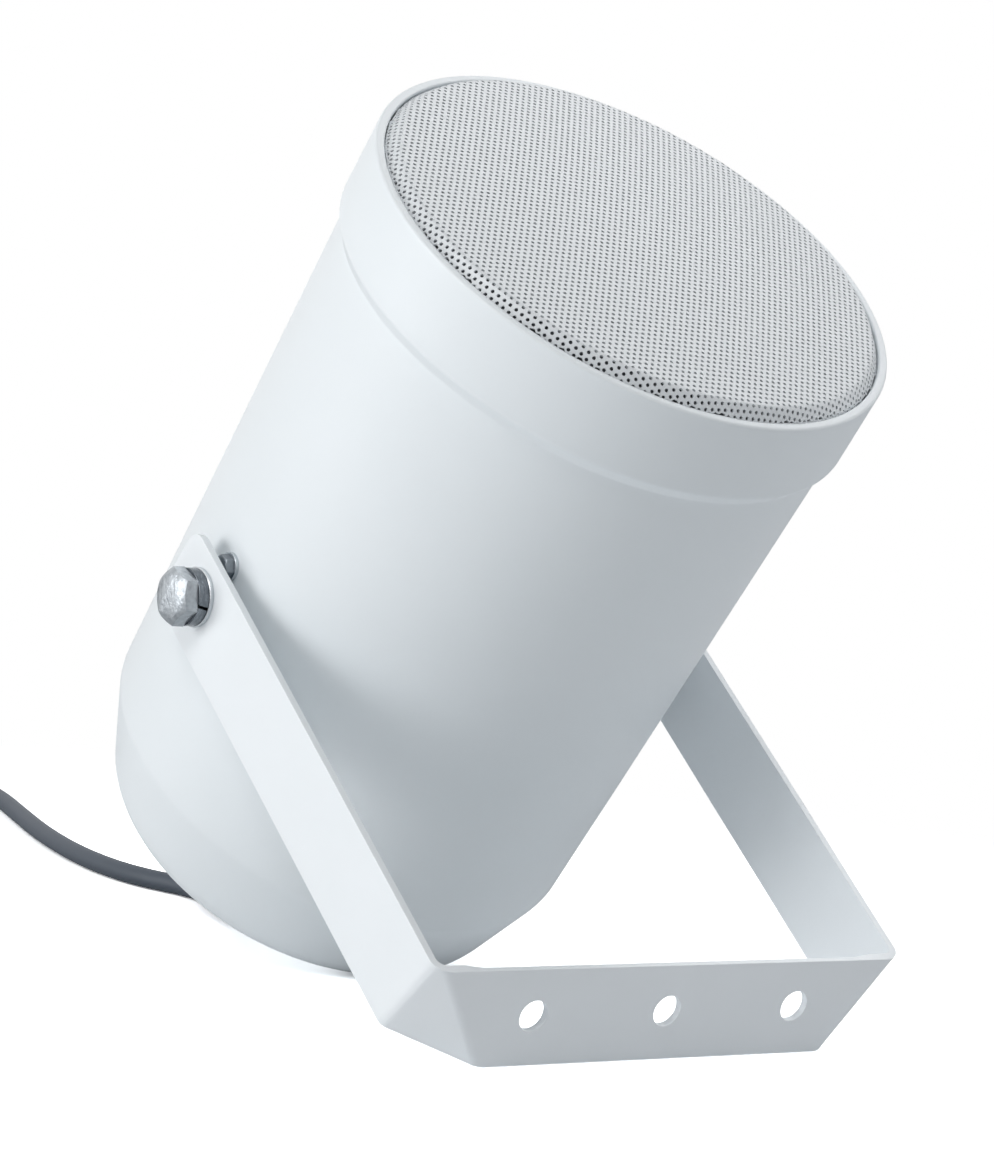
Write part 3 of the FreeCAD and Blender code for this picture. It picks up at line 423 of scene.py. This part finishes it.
for side in ("left", "right"):
    FINISHES.update({
        "pivot_bolt_" + side: BOLT_ZINC, "spring_washer_" + side: SPRING_STEEL,
        "flat_washer_" + side: WASHER_ZINC, "pivot_bush_" + side: WASHER_ZINC,
        "pivot_plate_" + side: PLATE_STEEL, "plate_screws_" + side: SCREW_ZINC_PAINTED_SHADE,
        "plate_washers_" + side: WASHER_ZINC})
for name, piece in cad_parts.items():
    piece.data.materials.clear()
    piece.data.materials.append(FINISHES[name])
    piece.data.shade_smooth()
    piece.data.set_sharp_from_angle(angle=math.radians(NODE_SMOOTH_DEG))


# Camera, solved from the photograph

camera_data = bpy.data.cameras.new("camera")
camera_data.sensor_width = 36.0
camera_data.lens = 123.04
camera_data.shift_x = -0.0526
camera_data.shift_y = 0.0095
camera_data.clip_end = 20.0
camera = bpy.data.objects.new("camera", camera_data)
bpy.context.scene.collection.objects.link(camera)
camera.matrix_world = Matrix((
    (0.78388, -0.0372, -0.6198, -0.60938),
    (-0.61355, 0.10681, -0.7824, -0.80355),
    (0.09531, 0.99358, 0.0609, 0.16883),
    (0, 0, 0, 1)))
bpy.context.scene.camera = camera
bpy.context.scene.view_settings.view_transform = "Standard"


# Cable: one smooth line out of the gland, along the floor, round its coil and out to its free end

GLAND_RUN = [(0.0, 72.68, 20.72), (0.0, 85.5, CORD_R)]
FLOOR_RUN = [(6.0, 114.0), (17.0, 138.0), (8.5, 163.25), (12.0, 197.25), (24.0, 239.25), (38.0, 277.25),
             (52.0, 314.25), (60.5, 345.25), (62.0, 377.0)]
TAIL_RUN = [(-0.6, 388.86, 7.0), (-1.6, 376.86, 3.4), (-4.0, 366.86, CORD_R), (-7.0, 357.25, CORD_R)]


def coil_turns():
    """Control points of the turns: the radius steps in after the first turn and out again after the third,
    and the height steps up after the second. Each step is spread over a quarter of a turn. The turns rise a
    little where the tie passes under them."""
    angle = np.arange(1, round(COIL_TURNS * COIL_POINTS)) * 2 * math.pi / COIL_POINTS
    turns = angle / (2 * math.pi)

    def step(at):
        """Rises smoothly from 0 to 1 over the quarter of a turn before the given one."""
        t = np.clip((turns - at + 0.25) / 0.25, 0, 1)
        return t * t * (3 - 2 * t)

    inwards = step(1.0) - step(3.0)
    radius = (COIL_OUTER_R + (COIL_INNER_R - COIL_OUTER_R) * inwards) / math.cos(math.pi / COIL_POINTS)
    from_tie = (angle - TIE_TURN + math.pi) % (2 * math.pi) - math.pi
    hump = np.where(np.abs(from_tie) < math.pi / 4, 0.5 + 0.5 * np.cos(4 * from_tie), 0)
    height = CORD_R + 2 * CORD_R * step(2.0) + TIE_LIFT * TIE_T * hump
    x = COIL_CENTRE[0] + radius * np.cos(angle)
    y = COIL_CENTRE[1] + radius * np.sin(angle)
    return np.stack([x, y, height], 1)


def cord_curve():
    """The cable as one round-bevelled spline of order 3, which passes through the middles of its control
    lines."""
    route = GLAND_RUN + [(x, y, CORD_R) for x, y in FLOOR_RUN]
    route = np.array(route + coil_turns().tolist() + TAIL_RUN) * MM
    curve = bpy.data.curves.new("cable", "CURVE")
    curve.dimensions = "3D"
    spline = curve.splines.new("NURBS")
    spline.points.add(len(route) - 1)
    spline.points.foreach_set("co", np.column_stack([route, np.ones(len(route))]).ravel())
    spline.order_u = 3
    spline.use_endpoint_u = True
    spline.resolution_u = 6
    curve.bevel_depth = CORD_R * MM
    curve.bevel_resolution = 6
    curve.use_fill_caps = True
    curve.materials.append(CORD_PVC)
    cable = bpy.data.objects.new("cable", curve)
    bpy.context.scene.collection.objects.link(cable)
    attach(cable, "housing")
    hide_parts("cord", "cord_coil", "cord_tail")
    return cable


cable = cord_curve()


# Pot

def shell_line():
    """The pot's outline from the middle of the back, up the outside, over the rim and down the inside."""
    inner_bevel_r = BODY_R_BEVEL - WALL
    back_in_z = BACK_Z + WALL
    back_r = BODY_R_BEVEL - BEVEL_SLOPE * (BEVEL_Z - BACK_Z)
    back_in_r = inner_bevel_r - BEVEL_SLOPE * (BEVEL_Z - back_in_z)
    under_z = SHOULDER_Z - SHOULDER_T
    taper = (BODY_R_FRONT - BODY_R_BEVEL) / (LEDGE_Z - BEVEL_Z)
    under_r = BODY_R_BEVEL + taper * (under_z - BEVEL_Z) - WALL
    mouth_r = RIM_R - RIM_WIDTH
    return rounded([
        (0, BACK_Z), (back_r, BACK_Z, BACK_ROUND), (BODY_R_BEVEL, BEVEL_Z, 8.0),
        (BODY_R_FRONT, LEDGE_Z, 1.5), (RIM_R - RIM_DRAFT, LIP_Z, 2.2), (RIM_R, RIM_Z, 0.8),
        (mouth_r, RIM_Z, 0.6), (mouth_r - MOUTH_DRAFT, SHOULDER_Z, 0.5), (SHOULDER_R, SHOULDER_Z, 0.4),
        (SHOULDER_R, under_z), (under_r, under_z - 7.0), (inner_bevel_r, BEVEL_Z, 5.0),
        (back_in_r, back_in_z, BACK_ROUND - WALL), (0, back_in_z)], 10)


def build_shell():
    """The turned pot with a shallow flat on each side under the bush and the small screws: x on the outside
    is held to the flat's level, which runs out again beyond the screws."""
    points, faces = turned(filled_in(shell_line(), SHELL_STEP), SHELL_COUNT)
    reach = np.clip((np.abs(points[:, 2]) - FLAT_END_Z) / FLAT_RUN_OUT, 0, 1)
    level = FLAT_X + FLAT_RISE * reach
    outside = np.hypot(points[:, 0], points[:, 1]) > FLAT_X - 1
    near = outside & (np.abs(points[:, 2]) < FLAT_END_Z + FLAT_REACH)
    points[near, 0] = np.clip(points[near, 0], -level[near], level[near])
    add_piece("pot", stood(points), faces, "housing", SHELL_ABS, ("housing_shell",), 50)


build_shell()


# Grille

def on_sheet(x, y, depth):
    """Wraps flat sheet points onto the grille. The distance from the middle becomes the length along its
    section: a large arc over the dome, a tight bend, then a straight slope. depth goes in along the
    normal."""
    length = np.hypot(x, y)
    bearing = np.arctan2(y, x)
    in_bend = np.clip(length - DOME_END, 0, BEND_END - DOME_END)
    on_slope = np.maximum(length - BEND_END, 0)
    lean = np.minimum(length, DOME_END) / GRILLE_DOME_R
    slope = lean + in_bend / GRILLE_BEND_R
    r = GRILLE_DOME_R * np.sin(lean) + GRILLE_BEND_R * (np.sin(slope) - np.sin(lean))
    r = r + on_slope * math.cos(GRILLE_SLOPE) - depth * np.sin(slope)
    z = GRILLE_DOME_R * (np.cos(lean) - 1) + GRILLE_BEND_R * (np.cos(slope) - np.cos(lean))
    z = GRILLE_TOP_Z + z - on_slope * math.sin(GRILLE_SLOPE) - depth * np.cos(slope)
    return np.stack([r * np.cos(bearing), r * np.sin(bearing), z], -1)


def ring_pattern(sides):
    """Triangles between a hexagon (0..5) and a hole (6..): at each step the ring whose next corner comes
    first moves."""
    pattern, outer, inner = [], 0, 0
    while outer < 6 or inner < sides:
        if inner >= sides or (outer < 6 and (outer + 1) / 6 <= (inner + 1) / sides):
            pattern.append((outer % 6, (outer + 1) % 6, 6 + inner % sides))
            outer += 1
        else:
            pattern.append((outer % 6, 6 + (inner + 1) % sides, 6 + inner % sides))
            inner += 1
    return np.array(pattern)


def perforated(name, low, high):
    """Hexagonal cells, each with a round hole, whose middles lie between two distances from the sheet's
    middle. Front and back faces share one lattice; hole walls and the border's walls join them."""
    row_pitch = HOLE_PITCH * math.sqrt(3) / 2
    count = int(high / row_pitch) + 3
    column, row = np.meshgrid(np.arange(-count, count + 1), np.arange(-count, count + 1))
    cx = ((column + 0.5 * (row % 2)) * HOLE_PITCH).ravel()
    cy = (row * row_pitch).ravel()
    kept = (np.hypot(cx, cy) > low) & (np.hypot(cx, cy) <= high)
    cx, cy = cx[kept], cy[kept]
    cells = len(cx)
    corner = np.radians(30 + 60 * np.arange(6))
    hole = np.radians(30 + 360 * np.arange(HOLE_SIDES) / HOLE_SIDES)
    hex_r = HOLE_PITCH / math.sqrt(3)
    corners = np.stack([cx[:, None] + hex_r * np.cos(corner), cy[:, None] + hex_r * np.sin(corner)], -1)
    shared, index = np.unique(np.round(corners.reshape(-1, 2), 4), axis=0, return_inverse=True)
    holes = np.stack([cx[:, None] + HOLE_R * np.cos(hole), cy[:, None] + HOLE_R * np.sin(hole)], -1)
    flat = np.concatenate([shared, holes.reshape(-1, 2)])
    cos, sin = math.cos(LATTICE_TURN), math.sin(LATTICE_TURN)
    x, y = flat[:, 0] * cos - flat[:, 1] * sin, flat[:, 0] * sin + flat[:, 1] * cos
    front = on_sheet(x, y, 0.0)
    back = on_sheet(x, y, GRILLE_T)
    total = len(flat)
    hex_index = index.reshape(cells, 6)
    hole_index = len(shared) + np.arange(cells * HOLE_SIDES).reshape(cells, HOLE_SIDES)
    table = np.concatenate([hex_index, hole_index], 1)
    face = table[:, ring_pattern(HOLE_SIDES)].reshape(-1, 3)
    after = np.roll(hole_index, -1, 1)
    walls = np.stack([hole_index, after, after + total, hole_index + total], -1).reshape(-1, 4)
    edges = np.stack([hex_index, np.roll(hex_index, -1, 1)], -1).reshape(-1, 2)
    _, first, uses = np.unique(np.sort(edges, 1), axis=0, return_index=True, return_counts=True)
    border = edges[first[uses == 1]]
    rim = np.stack([border[:, 1], border[:, 0], border[:, 0] + total, border[:, 1] + total], 1)
    faces = [face, face[:, ::-1] + total, walls, rim]
    points = stood(np.concatenate([front, back]))
    return add_piece(name, points, faces, "housing", GRILLE_PAINT_SHADED, ("grille",), 40)


BREAK_LEAN = math.asin(GRILLE_BREAK_R / GRILLE_DOME_R)
DOME_END = BREAK_LEAN * GRILLE_DOME_R
BEND_END = DOME_END + GRILLE_BEND_R * (GRILLE_SLOPE - BREAK_LEAN)
BEND_RISE = GRILLE_BEND_R * (math.sin(GRILLE_SLOPE) - math.sin(BREAK_LEAN))
SLOPE_LENGTH = (GRILLE_R - GRILLE_BREAK_R - BEND_RISE) / math.cos(GRILLE_SLOPE)
SLOPE_END = BEND_END + SLOPE_LENGTH
# The dome's span starts below zero, so that it takes in the middle cell
perforated("grille_dome", -1.0, DOME_END - EDGE_BAND)
perforated("grille_edge", DOME_END - EDGE_BAND, SLOPE_END - 0.1)
slope_end_z = on_sheet(SLOPE_END, 0.0, 0.0)[2]
skirt_box = [(GRILLE_R - 0.02, GRILLE_SKIRT_Z), (GRILLE_R - 0.02, slope_end_z + 0.1),
             (GRILLE_R - GRILLE_T, slope_end_z + 0.1), (GRILLE_R - GRILLE_T, GRILLE_SKIRT_Z)]
points, faces = turned(rounded([(*spot, SKIRT_ROUND) for spot in skirt_box], 3), SKIRT_COUNT)
add_piece("grille_skirt", stood(points), faces, "housing", GRILLE_PAINT_SHADED, ("grille",))


# Folded bracket and the hardware

softened("bracket", "bracket", BRACKET_PAINT, 0.7)
for side in ("left", "right"):
    softened("pivot_bolt_" + side, "housing", BOLT_ZINC, 0.35)
    softened("spring_washer_" + side, "housing", SPRING_STEEL, 0.2)
    softened("flat_washer_" + side, "housing", WASHER_ZINC, 0.3)
    softened("plate_screws_" + side, "housing", SCREW_ZINC_PAINTED_SHADE, 0.2)
    softened("plate_washers_" + side, "housing", WASHER_ZINC, 0.12)
softened("gland_nut", "housing", GLAND_PA, 0.3)
softened("gland_body", "housing", GLAND_PA, 0.3)


# The coil's tie and the cable's two bare cores

def skinned(rings):
    """Closed mesh over a row of rings of as many points each: quads between them and a cap at each end."""
    count, around = rings.shape[:2]
    index = np.arange(count * around).reshape(count, around)
    here, there = index[:-1], index[1:]
    sides = np.stack([here, np.roll(here, -1, 1), np.roll(there, -1, 1), there], -1).reshape(-1, 4)
    return rings.reshape(-1, 3), [sides, np.stack([index[0][::-1], index[-1]])]


def together(parts):
    """Several closed meshes as one list of points and one of face arrays."""
    points, groups, start = [], [], 0
    for spots, faces in parts:
        points.append(spots)
        groups.extend(group + start for group in outward(spots, faces))
        start += len(spots)
    return np.concatenate(points), groups


def tube(path, radius, sides=12):
    """Closed round tube along a level or sloping path of points."""
    along = np.gradient(path, axis=0)
    along /= np.linalg.norm(along, axis=1, keepdims=True)
    side = np.cross(along, (0.0, 0.0, 1.0))
    side /= np.linalg.norm(side, axis=1, keepdims=True)
    up = np.cross(side, along)
    turn = (np.arange(sides) * 2 * math.pi / sides)[:, None]
    return skinned(path[:, None] + radius * (np.cos(turn) * side[:, None] + np.sin(turn) * up[:, None]))


def at_tie(radial, height, along):
    """A place on the coil at the tie: distance from its middle, height, and way along the turns."""
    cos, sin = math.cos(TIE_TURN), math.sin(TIE_TURN)
    radial, height, along = np.broadcast_arrays(radial, height, along)
    x = COIL_CENTRE[0] + radial * cos - along * sin
    y = COIL_CENTRE[1] + radial * sin + along * cos
    return np.stack([x, y, height], -1).astype(float)


def coil_tie():
    """A flat band round the coil's section with a square head on top, whose slot the trimmed end runs
    through."""
    def outline(grow):
        """The coil's section as a rounded box, larger all round by grow."""
        low_r, high_r = COIL_INNER_R - CORD_R - grow, COIL_OUTER_R + CORD_R + grow
        low_z, high_z = TIE_T - grow, TIE_T + 4 * CORD_R + grow
        bend = CORD_R + grow
        return rounded([(low_r, low_z, bend), (high_r, low_z, bend), (high_r, high_z, bend),
                        (low_r, high_z, bend)])

    inner, outer = outline(0.0), outline(TIE_T - 0.1)
    half = TIE_WIDTH / 2
    loops = [(outer, -half + 0.3), (outer, half - 0.3), (inner, half), (inner, -half)]
    band = np.stack([at_tie(line[:, 0], line[:, 1], shift) for line, shift in loops])
    index = np.arange(band.shape[0] * band.shape[1]).reshape(band.shape[:2])
    after = np.roll(index, -1, 0)
    quads = np.stack([index, np.roll(index, -1, 1), np.roll(after, -1, 1), after], -1).reshape(-1, 4)
    top = TIE_T + 4 * CORD_R
    middle = (COIL_INNER_R + COIL_OUTER_R) / 2
    half_length, half_width = TIE_HEAD_LENGTH / 2, TIE_HEAD_WIDTH / 2
    plan = rounded([(-half_length, -half_width, 0.6), (half_length, -half_width, 0.6),
                    (half_length, half_width, 0.6), (-half_length, half_width, 0.6)], 4)
    levels = [(top + 0.1, 1.0), (top + TIE_HEAD_HEIGHT - 0.4, 1.0), (top + TIE_HEAD_HEIGHT, 0.86)]
    head = skinned(np.stack([at_tie(middle + plan[:, 0] * k, z, plan[:, 1] * k) for z, k in levels]))
    end = rounded([(-half + 0.2, -0.5, 0.2), (half - 0.2, -0.5, 0.2), (half - 0.2, 0.5, 0.2),
                   (-half + 0.2, 0.5, 0.2)], 3)
    run = [(middle + 1.0, top + 1.7), (middle + 4.6, top + 1.9)]
    tail = skinned(np.stack([at_tie(r, z + end[:, 1], end[:, 0]) for r, z in run]))
    return together([(band.reshape(-1, 3), [quads]), head, tail])


def core_line(side, lengths):
    """Middle line of one core from the end of the jacket: the two cores part and sink to the floor."""
    end, before = np.array(TAIL_RUN[-1]), np.array(TAIL_RUN[-2])
    way = (end - before) / np.linalg.norm(end - before)
    across = np.array([way[1], -way[0], 0])
    t = np.clip(lengths / CORE_LENGTH, 0, 1)
    ease = (t * t * (3 - 2 * t))[:, None]
    sink = np.array([0, 0, CORE_R + 0.05 - CORD_R])
    apart = CORE_APART + CORE_SPREAD * ease
    return end + way * lengths[:, None] + across * side * apart + sink * ease


def strands(side):
    """Seven wires laid up with a slow twist, out of the end of one core."""
    lengths = CORE_LENGTH - 0.5 + np.linspace(0, STRAND_LENGTH, 10)
    middle = core_line(side, lengths)
    wires = [tube(middle, STRAND_R, 6)]
    for k in range(6):
        turn = 2 * math.pi * (k / 6 + (lengths - CORE_LENGTH) / STRAND_LAY)
        way = np.gradient(middle, axis=0)
        level = np.cross(way, (0.0, 0.0, 1.0))
        level /= np.linalg.norm(level, axis=1, keepdims=True)
        offset = np.cos(turn)[:, None] * level + np.sin(turn)[:, None] * np.array([0.0, 0.0, 1.0])
        wires.append(tube(middle + 2 * STRAND_R * offset, STRAND_R, 6))
    return together(wires)


def bare_end():
    """The tie and both cores with their strands, as pieces on the cable."""
    kinds = [("coil_tie", coil_tie(), GLAND_PA, "gland_plastic", ())]
    for side, name, finish in ((-1, "core_blue", CORE_BLUE), (1, "core_brown", CORE_BROWN)):
        sleeve = tube(core_line(side, np.linspace(-1.0, CORE_LENGTH, 14)), CORE_R)
        kinds.append((name, sleeve, finish, "core_insulation", ("cord_cores",)))
        kinds.append((name + "_strands", strands(side), COPPER, "voice_coil_copper", ("cord_cores",)))
    return [add_piece(name, points * MM, faces, "housing", finish, stands_for)
            for name, (points, faces), finish, slot, stands_for in kinds]


bare_end()


# Floor and light

def softbox(name, place, width, watts, colour):
    """A square lamp that looks at the common point."""
    lamp = bpy.data.lights.new(name, "AREA")
    lamp.shape = "SQUARE"
    lamp.size = width
    lamp.energy = watts
    lamp.color = linear(colour)[:3]
    holder = bpy.data.objects.new(name, lamp)
    bpy.context.scene.collection.objects.link(holder)
    holder.location = place
    holder.rotation_euler = (Vector(AIM) - Vector(place)).to_track_quat("-Z", "Y").to_euler()


def pale_floor():
    """A pale matt floor that takes the object's shadow, and turns plain white for the camera away from the
    object."""
    mesh = bpy.data.meshes.new("floor")
    corners = [(x * FLOOR_HALF, y * FLOOR_HALF, 0) for x, y in ((-1, -1), (1, -1), (1, 1), (-1, 1))]
    mesh.from_pydata(corners, [], [(0, 1, 2, 3)])
    floor = bpy.data.objects.new("floor", mesh)
    bpy.context.scene.collection.objects.link(floor)
    floor.location.z = -FLOOR_DROP
    material, tree = blank_material("pale_floor")
    place = add_node(tree, "ShaderNodeTexCoord").outputs["Object"]
    away = add_node(tree, "ShaderNodeVectorMath", {0: place}, operation="LENGTH").outputs["Value"]
    fade = add_node(tree, "ShaderNodeMapRange", {
        "Value": away, "From Min": FADE_START, "From Max": FADE_END},
        interpolation_type="SMOOTHSTEP").outputs["Result"]
    seen = add_node(tree, "ShaderNodeLightPath").outputs["Is Camera Ray"]
    fade = add_node(tree, "ShaderNodeMath", {0: fade, 1: seen}, operation="MULTIPLY").outputs["Value"]
    bright = add_node(tree, "ShaderNodeMix", {
        "Factor": seen, "A": linear("#F4F6F8"), "B": (FLOOR_LIFT, FLOOR_LIFT, FLOOR_LIFT, 1.0)},
        data_type="RGBA").outputs["Result"]
    matt = add_node(tree, "ShaderNodeBsdfDiffuse", {"Color": bright}).outputs["BSDF"]
    white = add_node(tree, "ShaderNodeEmission", {"Color": (1, 1, 1, 1)}).outputs["Emission"]
    mixed = add_node(tree, "ShaderNodeMixShader", {0: fade, 1: matt, 2: white}).outputs["Shader"]
    add_node(tree, "ShaderNodeOutputMaterial", {"Surface": mixed})
    floor.data.materials.append(material)


def studio_air():
    """Soft light from all round, and plain white where the camera or a reflection sees it."""
    world = bpy.data.worlds.new("studio")
    bpy.context.scene.world = world
    world.use_nodes = True
    tree = world.node_tree
    tree.nodes.clear()
    rays = add_node(tree, "ShaderNodeLightPath").outputs
    seen = rays["Is Camera Ray"]
    for kind in ("Is Glossy Ray", "Is Transmission Ray"):
        either = {0: seen, 1: rays[kind]}
        seen = add_node(tree, "ShaderNodeMath", either, operation="MAXIMUM").outputs["Value"]
    dim = {"Color": linear("#EDF5FC"), "Strength": AIR_STRENGTH}
    soft = add_node(tree, "ShaderNodeBackground", dim).outputs["Background"]
    white = add_node(tree, "ShaderNodeBackground", {"Color": (1, 1, 1, 1)}).outputs["Background"]
    mixed = add_node(tree, "ShaderNodeMixShader", {0: seen, 1: soft, 2: white}).outputs["Shader"]
    add_node(tree, "ShaderNodeOutputWorld", {"Surface": mixed})


pale_floor()
studio_air()
for name, place, width, watts, colour in SOFTBOXES:
    softbox(name + "_softbox", place, width, watts, colour)
